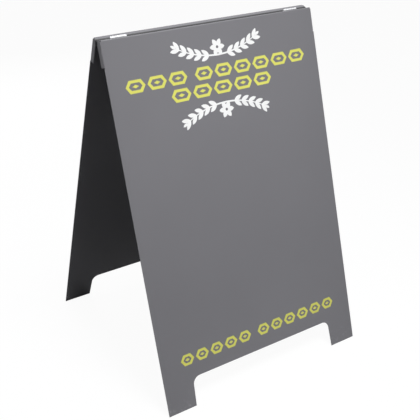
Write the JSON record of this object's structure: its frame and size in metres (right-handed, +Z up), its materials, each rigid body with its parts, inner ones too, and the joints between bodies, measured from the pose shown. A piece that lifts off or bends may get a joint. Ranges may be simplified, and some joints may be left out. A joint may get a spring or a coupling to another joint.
{
  "type": "sandwich board",
  "caption": "Folding sandwich board of two folded sheet-steel panels with cut-out feet, hinged along the top, with vinyl graphics on the front.",
  "frame": {"origin": "on the ground, under the middle of the open board", "axes": "+X across the board, along the hinge axis; -Y towards the printed front panel; +Z up"},
  "size_m": [0.6, 0.592, 0.861],
  "materials": {
    "coated_steel": "satin grey powder coat",
    "hinge_steel": "bright zinc plate",
    "fastener_steel": "plain zinc plate",
    "white_vinyl": "gloss self-adhesive film",
    "yellow_vinyl": "gloss self-adhesive film"
  },
  "bodies": {
    "rear_half": {"rear_panel": "coated_steel", "left_hinge_rear_leaf": "hinge_steel", "right_hinge_rear_leaf": "hinge_steel", "left_hinge_pin": "fastener_steel", "right_hinge_pin": "fastener_steel", "rear_hinge_rivets": "fastener_steel", "left_stop_plate": "coated_steel", "right_stop_plate": "coated_steel"},
    "front_half": {"front_panel": "coated_steel", "left_hinge_front_leaf": "hinge_steel", "right_hinge_front_leaf": "hinge_steel", "front_hinge_rivets": "fastener_steel", "left_stop_bracket": "coated_steel", "right_stop_bracket": "coated_steel", "left_stop_stud": "fastener_steel", "right_stop_stud": "fastener_steel", "left_stop_washer": "fastener_steel", "right_stop_washer": "fastener_steel", "header_ornament": "white_vinyl", "title_row": "yellow_vinyl", "subtitle_row": "yellow_vinyl", "lower_ornament": "white_vinyl", "footer_row": "yellow_vinyl"}
  },
  "joints": [
    {"name": "fold", "type": "hinge", "parent": "rear_half", "child": "front_half", "pos_m": [0, 0, 0.85803], "axis": [1, 0, 0], "range_deg": [0, 36]}
  ]
}
